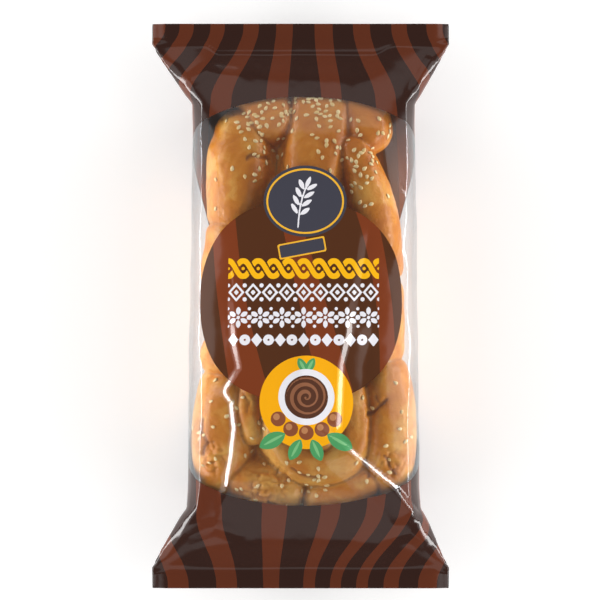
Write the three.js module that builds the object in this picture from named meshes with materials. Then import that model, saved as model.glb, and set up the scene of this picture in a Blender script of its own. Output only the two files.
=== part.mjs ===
// A braided sweet bread sealed in a flow pack of film, lying on its back: one closed pillow with a flat
// sealed fin at each end. Millimetres, +X across the pack, +Y towards its upper end, +Z up. The origin
// is on the surface that the pack lies on, below the middle of its box.
import * as THREE from "three";

const { clamp, lerp } = THREE.MathUtils;

// Driving dimensions, in millimetres.
const PACK_LENGTH = 300; // from the edge of one fin to the edge of the other
const PACK_HEIGHT = 58;
const FIN_LENGTH = 10.8; // the sealed strip at each end
const FIN_WIDTH = 158.4;
const FIN_THICKNESS = 1; // over the crimping
const FIN_LEVEL = 28; // height of the fins' middle plane
const WIDEST_LEVEL = 33; // height at which the body is widest
const UPPER_BODY_WIDTH = 118; // where the body meets the upper ears
const LOWER_BODY_WIDTH = 125; // where the body meets the lower ears
const SIDE_SHIFT = 1.6; // the body sits this far right of the fins' middle

// Each end: ears that narrow from the fin to the body, and a steep face above and below the fin.
const EAR_LENGTH = 32; // from the fin's seal line to the body's corner
const EAR_BOW = 0.9; // under 1, the ears' edges bow outwards
const END_FACE_RISE = 0.8; // height gained above the fin for each millimetre in from the seal line
const END_FACE_FALL = 1; // height lost below the fin for each millimetre in from the seal line
const CREASE_ROUND = 1.2; // radius scale of the crease where an end face meets the long faces
const DOME_REACH = 85; // how far in from the seal line the top goes on rising
const UPPER_DOME_DROP = 30.5; // how much lower the top would be at the upper seal line
const LOWER_DOME_DROP = 27; // how much lower it would be at the lower seal line
const BASE_TUCK = 5; // how far the round underside is pressed flat by what it lies on

// Roundness of the cross-section: each part of it is a squared oval. 2 and 2 is an ellipse, more is boxier.
// The gentle top meets the steep sides at a crease.
const TOP_SHOULDERS = 3.2;
const TOP_SQUARENESS = 2;
const TOP_SPREAD = 1.11; // the top would reach this much wider if the sides didn't cut it off
const SIDE_SHOULDERS = 8;
const SIDE_SQUARENESS = 1.6;
const EDGE_ROUND = 0.01; // radius scale of that crease, as a share of the section's height
const BASE_SHOULDERS = 3;
const BASE_SQUARENESS = 2.6;
const EAR_SQUARENESS = 1; // the ears come to a sharp edge

// How finely the skin is divided.
const POINTS_ROUND = 72;
const BODY_STATIONS = 12;
const END_STATIONS = 16;

const SEAL_LINE = PACK_LENGTH / 2 - FIN_LENGTH; // distance from the middle to each seal line
const FILM_COLOUR = 0x6e4a34;

/** Half the body's width at y, without the ears: the pack is a little wider towards its lower end. */
function bodyHalfWidth(y) {
  const share = clamp((SEAL_LINE - y) / (2 * SEAL_LINE), 0, 1);
  return lerp(UPPER_BODY_WIDTH, LOWER_BODY_WIDTH, share) / 2;
}

/** The smaller of two heights, with a rounded crease between them. */
function softLower(a, b, radius) {
  const gap = Math.abs(a - b) / radius;
  return Math.min(a, b) - (radius * Math.max(1 - gap, 0) ** 2) / 4;
}

/** The sizes of the cross-section at y. */
function sectionAt(y) {
  const inFromSeal = Math.max(SEAL_LINE - Math.abs(y), 0);
  const body = bodyHalfWidth(y);
  const ear = Math.max(1 - inFromSeal / EAR_LENGTH, 0);
  const domed = Math.max(1 - inFromSeal / DOME_REACH, 0);
  const drop = (y > 0 ? UPPER_DOME_DROP : LOWER_DOME_DROP) * domed ** 2;
  const level = lerp(WIDEST_LEVEL, FIN_LEVEL, ear);
  return {
    ear,
    level,
    centre: SIDE_SHIFT * (1 - ear),
    halfWidth: body + (FIN_WIDTH / 2 - body) * ear ** EAR_BOW,
    top: PACK_HEIGHT - FIN_THICKNESS / 2 - drop - level,
    depth: level + BASE_TUCK,
    rise: END_FACE_RISE * inFromSeal,
    fall: END_FACE_FALL * inFromSeal,
  };
}

/** Height share of a squared oval at `across` from -1 to 1, which turns into the ears' sharp one. */
function roundShare(across, shoulders, squareness, ear) {
  const power = 1 / lerp(squareness, EAR_SQUARENESS, ear);
  return Math.max(1 - Math.abs(across) ** shoulders, 0) ** power;
}

/** Height share of the top at `across`: a gentle top, cut off by steep sides. */
function topShare(across, ear) {
  const over = roundShare(across / lerp(TOP_SPREAD, 1, ear), TOP_SHOULDERS, TOP_SQUARENESS, ear);
  const beside = roundShare(across, lerp(SIDE_SHOULDERS, TOP_SHOULDERS, ear), SIDE_SQUARENESS, ear);
  return Math.max(softLower(over, beside, EDGE_ROUND), 0);
}

/** Distance of the skin above or below the section's widest level, at `across` from -1 to 1. */
function reachAt(section, across, above) {
  const body = above
    ? section.top * topShare(across, section.ear)
    : section.depth * roundShare(across, BASE_SHOULDERS, BASE_SQUARENESS, section.ear);
  const face = above ? section.rise : section.fall;
  const reach = Math.max(softLower(body, face, CREASE_ROUND), 0) + FIN_THICKNESS / 2;
  return above ? reach : Math.min(reach, section.level);
}

/** One closed ring of the skin at y, seen from the pack's lower end, anticlockwise from +X. */
function ringAt(y) {
  const section = sectionAt(y);
  const points = [];
  for (let i = 0; i < POINTS_ROUND; i += 1) {
    const angle = (2 * Math.PI * (i + 0.5)) / POINTS_ROUND;
    const above = Math.sin(angle) > 0;
    // Points crowd towards the sides, where the skin turns most.
    const across = Math.sign(Math.cos(angle)) * Math.abs(Math.cos(angle)) ** (2 / BASE_SHOULDERS);
    const reach = reachAt(section, across, above);
    const x = section.centre + section.halfWidth * across;
    points.push(new THREE.Vector3(x, y, section.level + (above ? reach : -reach)));
  }
  return points;
}

/** The places along the pack where it is cut into rings, from its lower fin to its upper fin. */
function stations() {
  const half = [PACK_LENGTH / 2];
  for (let i = 0; i <= END_STATIONS; i += 1) {
    half.push(SEAL_LINE - (DOME_REACH * i) / END_STATIONS);
  }
  const straight = SEAL_LINE - DOME_REACH;
  for (let i = 1; i < BODY_STATIONS / 2; i += 1) {
    half.push(straight * (1 - (2 * i) / BODY_STATIONS));
  }
  return [...half.map((y) => -y), 0, ...half.reverse()];
}

/** The closed skin through the rings, with a fan of triangles at each fin's edge. */
function packGeometry() {
  const rings = stations().map(ringAt);
  const positions = rings.flat().flatMap((p) => [p.x, p.y, p.z]);
  const indices = [];
  for (let row = 0; row + 1 < rings.length; row += 1) {
    for (let i = 0; i < POINTS_ROUND; i += 1) {
      const next = (i + 1) % POINTS_ROUND;
      const a = row * POINTS_ROUND + i;
      const b = row * POINTS_ROUND + next;
      indices.push(a, a + POINTS_ROUND, b, b, a + POINTS_ROUND, b + POINTS_ROUND);
    }
  }
  for (const [row, upper] of [[0, false], [rings.length - 1, true]]) {
    const centre = positions.length / 3;
    positions.push(0, rings[row][0].y, FIN_LEVEL);
    for (let i = 0; i < POINTS_ROUND; i += 1) {
      const a = row * POINTS_ROUND + i;
      const b = row * POINTS_ROUND + ((i + 1) % POINTS_ROUND);
      indices.push(centre, ...(upper ? [b, a] : [a, b]));
    }
  }
  const geometry = new THREE.BufferGeometry();
  geometry.setAttribute("position", new THREE.Float32BufferAttribute(positions, 3));
  geometry.setIndex(indices);
  geometry.computeVertexNormals();
  return geometry;
}

const film = new THREE.MeshStandardMaterial({ color: FILM_COLOUR, roughness: 0.25, metalness: 0 });
const pack = new THREE.Mesh(packGeometry(), film);
pack.name = "sealed_pack";

const bread = new THREE.Group();
bread.add(pack);

export default bread;
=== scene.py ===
"""A braided sweet bread with sesame, sealed in a striped flow pack of film that lies on its back."""

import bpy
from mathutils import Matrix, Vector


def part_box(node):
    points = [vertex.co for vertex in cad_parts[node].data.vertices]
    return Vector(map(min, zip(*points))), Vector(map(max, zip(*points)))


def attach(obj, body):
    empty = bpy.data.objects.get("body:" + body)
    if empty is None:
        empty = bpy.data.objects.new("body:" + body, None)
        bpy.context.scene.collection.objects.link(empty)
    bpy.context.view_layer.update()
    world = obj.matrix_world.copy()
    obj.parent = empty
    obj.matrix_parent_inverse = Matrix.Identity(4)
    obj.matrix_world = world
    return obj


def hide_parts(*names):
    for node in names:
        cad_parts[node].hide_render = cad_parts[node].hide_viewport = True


bl_info = {
    "name": "Sealed Sweet Bread",
    "version": (1, 0, 0),
    "blender": (4, 5, 0),
    "location": "View3D > Sidebar > Sweet Bread",
    "description": "Builds a braided sweet bread sealed in a striped flow pack with a clear window",
    "category": "Add Mesh",
}

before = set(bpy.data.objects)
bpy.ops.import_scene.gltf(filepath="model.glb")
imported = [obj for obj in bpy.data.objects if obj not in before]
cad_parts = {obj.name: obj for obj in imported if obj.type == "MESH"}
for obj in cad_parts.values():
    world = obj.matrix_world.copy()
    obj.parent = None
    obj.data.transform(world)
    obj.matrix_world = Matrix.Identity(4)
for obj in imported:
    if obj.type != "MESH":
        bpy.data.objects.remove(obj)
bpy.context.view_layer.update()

import math

import bpy
import numpy as np
from bpy.props import FloatProperty, FloatVectorProperty, IntProperty, PointerProperty
from bpy.types import Operator, Panel, PropertyGroup

NODE = "sealed_pack"
BODY = "root"
MM = 0.001  # shapes are worked out in millimetres, and scaled to metres as they become meshes
BOX_LOW, BOX_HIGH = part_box(NODE)

# ---------------------------------------------------------------------------------------------------
# Sizes and colours that a user would change


def length_property(name, description, default):
    return FloatProperty(
        name=name, description=description, default=default, min=0, unit="LENGTH", precision=5
    )


def colour_property(name, description, default):
    return FloatVectorProperty(
        name=name, description=description, default=default, subtype="COLOR", size=3, min=0, max=1
    )


def strength_property(name, description, default):
    return FloatProperty(name=name, description=description, default=default, min=0)


class PackSizes(PropertyGroup):
    """The film's outer shape, as the CAD solid has it."""

    length: length_property("Length", "From one fin's edge to the other's", BOX_HIGH.y - BOX_LOW.y)
    fin_width: length_property("Fin width", "Across the pack at its fins", BOX_HIGH.x - BOX_LOW.x)
    height: length_property("Height", "From the surface it lies on to its top", BOX_HIGH.z - BOX_LOW.z)
    fin_length: length_property("Fin length", "The sealed strip at each end", 0.0108)
    fin_level: length_property("Fin level", "Height of the fins above the surface it lies on", 0.028)
    widest_level: length_property("Widest level", "Height at which the body is widest", 0.033)
    upper_width: length_property("Upper width", "Across the body at its upper ears", 0.118)
    lower_width: length_property("Lower width", "Across the body at its lower ears", 0.125)
    ear_length: length_property("Ear length", "From a seal line to the body's corner", 0.032)


class FilmColours(PropertyGroup):
    """The printed inks and the clear film."""

    dark_brown: colour_property("Dark brown", "Ground of the ends and the back", (0.026, 0.0062, 0.0026))
    red_brown: colour_property("Red-brown", "Stripes of the ends and the back", (0.108, 0.0210, 0.0052))
    label_brown: colour_property("Label brown", "Ground of the label", (0.083, 0.0235, 0.0050))
    label_red: colour_property("Label red-brown", "Stripes of the label", (0.200, 0.038, 0.0072))
    # The lining colours are partly the print's own paler inner side and partly painted light, set lighter to
    # make up for the shade inside the pack.
    lining_dark: colour_property("Lining dark", "The dark print seen from inside", (0.42, 0.31, 0.23))
    lining_red: colour_property("Lining red", "The stripes seen from inside", (0.56, 0.32, 0.18))
    orange: colour_property("Orange", "The round field under the label", (0.96, 0.43, 0.0))
    yellow: colour_property("Yellow", "The upper row of ornament", (0.98, 0.50, 0.003))
    white: colour_property("White", "The lower rows of ornament and the plate", (0.86, 0.85, 0.90))
    slate: colour_property("Slate", "The badge and the small bar", (0.050, 0.050, 0.070))
    gold: colour_property("Gold", "The rims of the badge and the small bar", (0.92, 0.48, 0.03))
    leaf: colour_property("Leaf green", "The leaves", (0.075, 0.34, 0.12))
    vein: colour_property("Light green", "The middle of each leaf", (0.20, 0.52, 0.22))
    nut: colour_property("Nut brown", "The nuts", (0.26, 0.075, 0.028))
    kernel: colour_property("Pale nut", "The light side of each nut", (0.50, 0.22, 0.09))
    chocolate: colour_property("Chocolate", "The filling on the plate", (0.090, 0.030, 0.014))
    swirl: colour_property("Light chocolate", "The turns drawn on the filling", (0.29, 0.115, 0.055))
    clear: colour_property("Clear film", "Tint of the unprinted film", (0.70, 0.745, 0.775))


class BreadSizes(PropertyGroup):
    """The loaf and the seeds on it."""

    crust: colour_property("Crust", "The loaf's main colour", (0.625, 0.229, 0.0205))
    crust_dark: colour_property("Browned crust", "Where it baked darkest", (0.50, 0.140, 0.009))
    crust_pale: colour_property("Pale crust", "Where the dough stretched open", (0.74, 0.39, 0.080))
    # Painted shade: the dark colour laid deep between two strands and in the cracks, where shade falls.
    seam: colour_property("Seams", "Deep between two strands", (0.21, 0.065, 0.015))
    seed: colour_property("Seed", "Toasted sesame", (0.93, 0.77, 0.42))
    seed_length: length_property("Seed length", "Length of a sesame seed", 0.0030)
    seed_count: IntProperty(name="Seeds", description="How many seeds are scattered", default=240, min=0)


class StageSettings(PropertyGroup):
    """The floor, the lights and the camera."""

    camera_height: length_property("Camera height", "How far the camera is above the floor", 1.7)
    floor: colour_property("Floor", "The plain pale floor", (0.86, 0.86, 0.86))
    side_light: strength_property("Side lights", "Power of the two wide lights, in watts", 2.6)
    strip_light: strength_property("Strip lights", "Power of the two low lights, in watts", 25.5)
    end_light: strength_property("End lights", "Power of the two end lights, in watts", 0.6)
    room_light: strength_property("Room light", "Strength of the even room light", 0.22)


# ---------------------------------------------------------------------------------------------------
# Small tools

# Large odd numbers that stir a grid cell's place into an even random value.
CELL_PRIMES = (73856093, 19349663, 83492791)
SEED_PRIME = 2654435761
STIR_PRIME = 1274126177
LARGEST = 0xFFFFFFFF


def blend(a, b, share):
    """a where the share is 0, b where it is 1, and even steps between them."""
    return a + (b - a) * share


def smooth(low, high, x):
    """0 below low and 1 above high, with a smooth change between them."""
    t = np.clip((x - low) / (high - low), 0, 1)
    return t * t * (3 - 2 * t)


def bell(distance, half_width):
    """1 at no distance, falling off smoothly past the half-width."""
    return np.exp(-((distance / half_width) ** 2))


def soft_lower(a, b, radius):
    """The smaller of two heights, with a rounded crease between them."""
    return np.minimum(a, b) - radius * np.clip(1 - np.abs(a - b) / radius, 0, 1) ** 2 / 4


def soft_higher(a, b, radius):
    return -soft_lower(-a, -b, radius)


def noise(points, size, seed=0):
    """Smooth random values from -1 to 1 that change over about `size`: the same on every run."""
    places = np.asarray(points, float) / size
    cells = np.floor(places).astype(np.int64)
    part = places - cells
    part = part * part * (3 - 2 * part)
    total = np.zeros(len(places))
    for corner in np.ndindex(*(2,) * places.shape[1]):
        mixed = np.full(len(places), seed * SEED_PRIME, np.int64)
        weight = np.ones(len(places))
        for axis, prime in zip(range(places.shape[1]), CELL_PRIMES):
            mixed ^= (cells[:, axis] + corner[axis]) * prime
            weight = weight * (part[:, axis] if corner[axis] else 1 - part[:, axis])
        mixed &= LARGEST
        mixed = ((mixed ^ (mixed >> 13)) * STIR_PRIME) & LARGEST
        mixed ^= mixed >> 16
        total += weight * (mixed / (LARGEST // 2) - 1)
    return total


def fractal(points, size, octaves, seed=0):
    """Noise with finer and fainter noise on it."""
    return sum(noise(points, size / 2**k, seed + k) / 2**k for k in range(octaves))


def distance_to_path(points, path):
    """Each plan point's distance from a path, its share along the path, and if it is on its left."""
    path = np.asarray(path, float)
    steps = np.diff(path, axis=0)
    lengths = np.hypot(steps[:, 0], steps[:, 1])
    best = np.full(len(points), np.inf)
    along = np.zeros(len(points))
    left = np.zeros(len(points), bool)
    for start, step, length, before in zip(path[:-1], steps, lengths, np.cumsum(lengths) - lengths):
        from_start = points - start
        t = np.clip((from_start @ step) / length**2, 0, 1)
        gap = from_start - t[:, None] * step
        far = np.hypot(gap[:, 0], gap[:, 1])
        nearer = far < best
        best[nearer] = far[nearer]
        along[nearer] = (before + t[nearer] * length) / lengths.sum()
        left[nearer] = step[0] * gap[nearer, 1] > step[1] * gap[nearer, 0]
    return best, along, left


def spline(points, steps):
    """Even samples of a smooth line through the points, with every column carried along."""
    points = np.asarray(points, float)
    before = 2 * points[:1] - points[1:2]
    after = 2 * points[-1:] - points[-2:-1]
    padded = np.concatenate((before, points, after))
    t = np.linspace(0, 1, steps, endpoint=False)[:, None]
    spans = []
    for a, b, c, d in zip(padded, padded[1:], padded[2:], padded[3:]):
        bend = (2 * a - 5 * b + 4 * c - d) * t**2 / 2
        turn = (3 * b - a - 3 * c + d) * t**3 / 2
        spans.append(b + (c - a) * t / 2 + bend + turn)
    return np.concatenate((*spans, points[-1:]))


def new_object(name, vertices, faces, materials, face_materials=None, normals=None):
    """A smooth mesh object, from places in millimetres."""
    mesh = bpy.data.meshes.new(name)
    mesh.from_pydata((np.asarray(vertices) * MM).tolist(), [], [list(face) for face in faces])
    mesh.shade_smooth()
    for material in materials:
        mesh.materials.append(material)
    if face_materials is not None:
        mesh.polygons.foreach_set("material_index", np.asarray(face_materials, np.int32))
    if normals is not None:
        mesh.normals_split_custom_set_from_vertices(normals.tolist())
    mesh.update()
    piece = bpy.data.objects.new(name, mesh)
    bpy.context.scene.collection.objects.link(piece)
    return piece


def add_piece(piece):
    """Lets a piece ride on the pack's one body."""
    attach(piece, BODY)
    return piece


# ---------------------------------------------------------------------------------------------------
# The film's shape. Film coordinates are millimetres on the flat film: u round the pack from the middle
# of its front to the right, v along it towards its upper end.

EAR_BOW = 0.9  # under 1, the ears' edges bow outwards
END_FACE_FALL = 1.0  # height lost below the fin for each millimetre in from the seal line
CREASE_ROUND = 0.8
DOME_REACH = 85.0  # how far in from a seal line the top goes on rising
UPPER_DOME_DROP = 30.5  # how much lower the top would be at the upper seal line
LOWER_DOME_DROP = 27.0
BASE_TUCK = 5.0  # how far the round underside is pressed flat by what it lies on

# Roundness of the cross-section: each part of it is a squared oval. 2 and 2 is an ellipse, more is boxier.
TOP_SHOULDERS, TOP_SQUARENESS = 3.2, 2.0
SIDE_SHOULDERS, SIDE_SQUARENESS = 8.0, 1.6
BASE_SHOULDERS, BASE_SQUARENESS = 3.0, 2.6
EAR_SQUARENESS = 1.0  # the ears come to a sharp edge
TOP_SPREAD = 1.11  # the top would reach this much wider if the sides didn't cut it off
EDGE_ROUND = 0.01  # radius scale of the crease between top and side, as a share of the height
EDGE_SWAY = 0.05  # how much the top's spread wanders along each side
SWAY_LENGTH = 37.0
SIDES_APART = 40.0  # from the middle to each side's own line of random values
HALF_FIN_GAP = 0.15  # from the fin's middle plane to each of its two sheets
FIN_OPENING = 1.5  # how far in from a fin's edge its sheets come to that gap
BASE_GAP = 0.6  # room under the pack for the folded back seam
SIDE_SHIFT = 1.6  # the body sits a little right of the fins' middle

# The upper seal line runs lower between two steps.
SEAL_DIP = 4.6
SEAL_STEPS = ((-52.0, -43.0), (38.0, 52.0))
SEAL_RIDGE = (0.25, 0.9)  # how far the stiff edge of each seal stands proud, and its half-width
RIDGE_OUT = 1.0  # how far past the seal line that edge goes on

# Where each steep end face meets the long front: plan places from left to right.
UPPER_CREASE = ((-66.6, 134.6), (-41.7, 122.4), (16.6, 121.9), (27.2, 118.5), (54.3, 128.8), (66.5, 132.0))
LOWER_CREASE = ((-64.5, -130.4), (-22.6, -125.9), (25.1, -126.1), (69.6, -130.9))
END_FACE_SLOPES = (0.6, 0.92)  # the gentlest and the steepest

# Half of the film's grid each way: how far a step goes on, and the step. It is finest where the ornament,
# the creased sides and the ends are.
STEPS_ROUND = ((42.0, 0.6), (55.0, 1.3), (66.0, 0.6), (100.0, 1.7), (math.inf, 2.8))
STEPS_ALONG = ((26.0, 0.6), (84.0, 0.9), (112.0, 1.4), (math.inf, 0.9))
SECTION_SAMPLES = 200


class FilmShape:
    """Works out where the film's flat coordinates lie on the sealed pack, in millimetres."""

    def __init__(self, sizes):
        self.half_length = sizes.length / MM / 2
        self.half_fin = sizes.fin_width / MM / 2
        self.height = sizes.height / MM
        self.fin_level = sizes.fin_level / MM
        self.widest_level = sizes.widest_level / MM
        self.seal = self.half_length - sizes.fin_length / MM
        self.upper = sizes.upper_width / MM / 2
        self.lower = sizes.lower_width / MM / 2
        self.ear_length = sizes.ear_length / MM
        self.half_girth = 2 * self.half_fin

    def ear(self, y):
        """1 at the seals, 0 beyond the ears."""
        return np.clip(1 - (self.seal - np.abs(y)) / self.ear_length, 0, 1)

    def level(self, y):
        return blend(self.widest_level, self.fin_level, self.ear(y))

    def centre(self, y):
        return SIDE_SHIFT * (1 - self.ear(y))

    def half_width(self, y):
        share = np.clip((self.seal - y) / (2 * self.seal), 0, 1)
        body = blend(self.upper, self.lower, share)
        return blend(body, self.half_fin, self.ear(y) ** EAR_BOW)

    def round_share(self, x, y, shoulders, squareness, spread=1.0):
        """Height share of the round cross-section at each place, from 0 at its sides to 1."""
        across = np.clip(np.abs(x - self.centre(y)) / self.half_width(y), 0, 1) / spread
        return np.clip(1 - across**shoulders, 0, 1) ** (1 / blend(squareness, EAR_SQUARENESS, self.ear(y)))

    def edge_sway(self, x, y):
        """How far the creased edge of each side wanders off its even line."""
        sides = np.stack((SIDES_APART * np.sign(x), y), axis=-1).reshape(-1, 2)
        return EDGE_SWAY * fractal(sides, SWAY_LENGTH, 2, seed=2).reshape(np.shape(x))

    def long_front(self, x, y):
        """Height of the front without its end faces: a gentle top that meets steep sides at a crease."""
        inside = np.clip(self.seal - np.abs(y), 0, None)
        drop = np.where(y > 0, UPPER_DOME_DROP, LOWER_DOME_DROP) * np.clip(1 - inside / DOME_REACH, 0, 1) ** 2
        ear = self.ear(y)
        spread = blend(TOP_SPREAD + self.edge_sway(x, y), 1, ear)
        over = self.round_share(x, y, TOP_SHOULDERS, TOP_SQUARENESS, spread)
        beside = self.round_share(x, y, blend(SIDE_SHOULDERS, TOP_SHOULDERS, ear), SIDE_SQUARENESS)
        share = soft_lower(over, beside, EDGE_ROUND)
        return blend(self.level(y), self.height - drop, np.clip(share, 0, 1))

    def seal_dip(self, x, y):
        """How far the seal line runs below its corners at x."""
        (left, left_end), (right, right_end) = SEAL_STEPS
        return np.where(y > 0, SEAL_DIP * smooth(left, left_end, x) * (1 - smooth(right, right_end, x)), 0)

    def from_seal(self, x, y):
        return np.clip(self.seal - np.abs(y) - self.seal_dip(x, y), 0, None)

    def front(self, x, y):
        """Height of the film's front."""
        face = np.full(np.shape(x), np.inf)
        for crease, at_this_end in ((UPPER_CREASE, y > 0), (LOWER_CREASE, y < 0)):
            crease_x, crease_y = np.transpose(crease)
            meeting = np.interp(x, crease_x, crease_y)
            rise = self.long_front(x, meeting) - self.fin_level
            slope = np.clip(rise / np.maximum(self.from_seal(x, meeting), 1), *END_FACE_SLOPES)
            face = np.where(at_this_end, self.fin_level + slope * self.from_seal(x, y), face)
        height = soft_lower(self.long_front(x, y), face, CREASE_ROUND)
        return np.maximum(height, self.level(y)) + self.half_gap(y)

    def back(self, x, y):
        """Height of the film's back."""
        depth = (self.level(y) + BASE_TUCK) * self.round_share(x, y, BASE_SHOULDERS, BASE_SQUARENESS)
        fall = END_FACE_FALL * np.clip(self.seal - np.abs(y), 0, None)
        depth = np.clip(soft_lower(depth, fall, CREASE_ROUND), 0, None) + self.half_gap(y)
        return np.maximum(self.level(y) - depth, BASE_GAP)

    def half_gap(self, y):
        """Half the gap between the two sheets, which meet at each end of the pack."""
        return HALF_FIN_GAP * smooth(0, FIN_OPENING, self.half_length - np.abs(y))

    def place(self, u, v):
        """Grids of x, y and z for every v (rows) and u (columns)."""
        spread = np.sin(np.linspace(0, math.pi / 2, SECTION_SAMPLES)) ** (2 / BASE_SHOULDERS)
        column = np.asarray(v, float)[:, None]
        y = np.repeat(column, len(spread), axis=1)
        x = np.empty((len(v), len(u)))
        z = np.empty_like(x)
        for side in (-1, 1):
            across = self.centre(column) + self.half_width(column) * side * spread
            outline_x = np.concatenate((across, across[:, ::-1]), axis=1)
            outline_z = np.concatenate((self.front(across, y), self.back(across, y)[:, ::-1]), axis=1)
            run = np.hypot(np.diff(outline_x, axis=1), np.diff(outline_z, axis=1)).cumsum(axis=1)
            run = np.concatenate((np.zeros((len(v), 1)), run), axis=1)
            mine = u >= 0 if side > 0 else u < 0
            for row in range(len(v)):
                wanted = np.abs(u[mine]) / self.half_girth * run[row, -1]
                x[row, mine] = np.interp(wanted, run[row], outline_x[row])
                z[row, mine] = np.interp(wanted, run[row], outline_z[row])
        return x, np.repeat(column, len(u), axis=1), z


def grid_normals(grid):
    """Unit normals of a grid of places that closes round the pack, facing out of it."""
    looped = np.concatenate((grid[:, -2:-1], grid, grid[:, 1:2]), axis=1)
    normals = np.cross(looped[:, 2:] - looped[:, :-2], np.gradient(grid, axis=0))
    return normals / np.maximum(np.linalg.norm(normals, axis=-1, keepdims=True), 1e-9)


# Folds of the front film: plan places, height of the crest, and how wide its flanks are on the left and on
# the right as one goes along the path. A steep narrow flank has the wide one of the same fold beside it.
LEFT_FOLD = (
    (-35.0, 8.0),
    (-32.4, -21.0),
    (-30.3, -30.2),
    (-30.3, -33.2),
    (-37.6, -44.6),
    (-34.1, -49.7),
    (-32.8, -64.0),
    (-34.6, -80.0),
    (-37.5, -94.0),
    (-42.0, -106.0),
)
RIGHT_BAND = ((31.5, 46.0), (26.3, 11.7), (23.1, -13.3))
RIGHT_FOLD = ((23.9, 0.0), (23.1, -13.3), (18.9, -30.2), (17.3, -70.0))
RIGHT_TAIL = ((15.5, -68.3), (31.0, -81.5), (49.3, -96.4), (62.6, -114.2))
FOLDS = (
    (LEFT_FOLD, 1.65, 16.0, 3.4),
    (LEFT_FOLD, 0.7, 16.0, 8.0),
    (RIGHT_BAND, 1.1, 5.0, 14.0),
    (RIGHT_FOLD, 1.85, 3.5, 18.0),
    (RIGHT_FOLD, 2.7, 14.0, 18.0),
    (RIGHT_TAIL, 2.55, 3.0, 12.0),
    (RIGHT_TAIL, 0.6, 9.0, 12.0),
    (((39.0, 104.0), (45.0, 74.0), (50.0, 42.0)), 0.9, 7.0, 10.0),
    (((-47.0, 88.0), (-42.5, 60.0), (-43.0, 34.0)), 0.8, 10.0, 6.0),
    (((53.7, 58.3), (56.4, 52.5), (50.0, 23.3)), 0.9, 4.0, 6.0),
    (((-64.0, 116.0), (-50.0, 124.0), (-30.0, 121.0)), 0.6, 5.0, 5.0),
    (((60.0, 112.0), (66.0, 124.0), (70.0, 133.0)), 1.0, 4.0, 4.0),
    (((-66.0, -124.0), (-45.0, -116.0), (-28.0, -122.0)), 0.6, 5.0, 5.0),
    (((40.0, -124.0), (58.0, -119.0), (70.0, -128.0)), 0.6, 5.0, 5.0),
)
CREST_ROUND = 0.3
FLANK_ROUND = 0.1  # radius scale of a flank's foot, for its crest
FOLD_RISEN, FOLD_FADES = 0.2, 0.85  # shares of its path where a fold is fully there, and where it fades
FOLD_END_SHARE = 0.15  # what is left of its crest at its two ends


def fold_relief(plan):
    """Height that the sharp-crested folds add to the front at each plan place."""
    relief = np.zeros(len(plan))
    for path, crest, left_width, right_width in FOLDS:
        far, along, left = distance_to_path(plan, path)
        share = 1 - (np.hypot(far, CREST_ROUND) - CREST_ROUND) / np.where(left, left_width, right_width)
        there = smooth(0, FOLD_RISEN, along) * (1 - smooth(FOLD_FADES, 1, along))
        relief += crest * soft_higher(share, 0, FLANK_ROUND) * blend(FOLD_END_SHARE, 1, there)
    return relief


def grid_places(steps, end):
    """Places from -end to end, with the given steps out from the middle."""
    parts = [np.zeros(1)]
    start = 0.0
    for limit, step in steps:
        limit = min(limit, end)
        parts.append(np.linspace(start, limit, round((limit - start) / step) + 1)[1:])
        start = limit
    half = np.concatenate(parts)
    return np.concatenate((-half[:0:-1], half))


# Unevenness of the loose film: how far it goes in and out, and the length of one swing.
SLACK_WAVES = (0.30, 27.0)
FINE_WAVES = (0.09, 9.0)
WALL_WAVES = (0.6, 19.0)
WALL_SINK = 0.3  # the steep walls lie this far in
# By how far up its normal points, film is wholly a wall up to the first, and not at all from the second.
WALL_FACING = (0.5, 0.95)
FOLDED_FACING = (0.15, 0.6)  # and has no folds up to the first, and folds of full height from the second
LOOSE_FROM = 6.0  # how far in from its seal lines the film is fully loose

# The fins: waves that both sheets share, and corners that turn down past a place on each side.
FIN_FROM = (-1.0, 4.0)  # how far out from the seal line those begin, and where they are in full
FIN_WAVES = (0.5, 34.0)
FIN_WAVE_STRETCH = (1, 0.2)
FIN_CORNERS = (69.0, 80.0)
FIN_CORNER_DROP = 2.2


def shaped_film(shape):
    """The film's grid on the pack with its folds: u, v, place and normal of every corner, and triangles."""
    u = grid_places(STEPS_ROUND, shape.half_girth)
    v = grid_places(STEPS_ALONG, shape.half_length)
    grid = np.stack(shape.place(u, v), axis=-1)
    points = grid.reshape(-1, 3)
    normals = grid_normals(grid).reshape(-1, 3)
    plan = points[:, :2]
    inside = shape.seal - np.abs(points[:, 1])
    loose = smooth(0, LOOSE_FROM, inside)
    relief = loose * smooth(*FOLDED_FACING, normals[:, 2]) * fold_relief(plan)
    slack, slack_length = SLACK_WAVES
    fine, fine_length = FINE_WAVES
    waves = slack * noise(points, slack_length, seed=3) + fine * fractal(points, fine_length, 2, seed=11)
    relief += loose * waves
    on_wall = 1 - smooth(*WALL_FACING, np.abs(normals[:, 2]))
    wall, wall_length = WALL_WAVES
    relief += loose * on_wall * (wall * noise(points, wall_length, seed=30) - WALL_SINK)
    ridge, half_width = SEAL_RIDGE
    relief += ridge * bell(inside - shape.seal_dip(*plan.T), half_width) * (inside > -RIDGE_OUT)
    points = points + normals * relief[:, None]
    in_fin = smooth(*FIN_FROM, -inside)
    fin, fin_length = FIN_WAVES
    points[:, 2] += in_fin * fin * noise(plan * FIN_WAVE_STRETCH, fin_length, seed=7)
    points[:, 2] -= in_fin * FIN_CORNER_DROP * smooth(*FIN_CORNERS, np.abs(plan[:, 0]))
    points[:, 2] = np.maximum(points[:, 2], BASE_GAP)
    normals = grid_normals(points.reshape(grid.shape)).reshape(-1, 3)
    flat_u, flat_v = np.meshgrid(u, v)
    values = np.concatenate((flat_u.reshape(-1, 1), flat_v.reshape(-1, 1), points, normals), axis=1)
    return values, grid_triangles(len(v), len(u))


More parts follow.
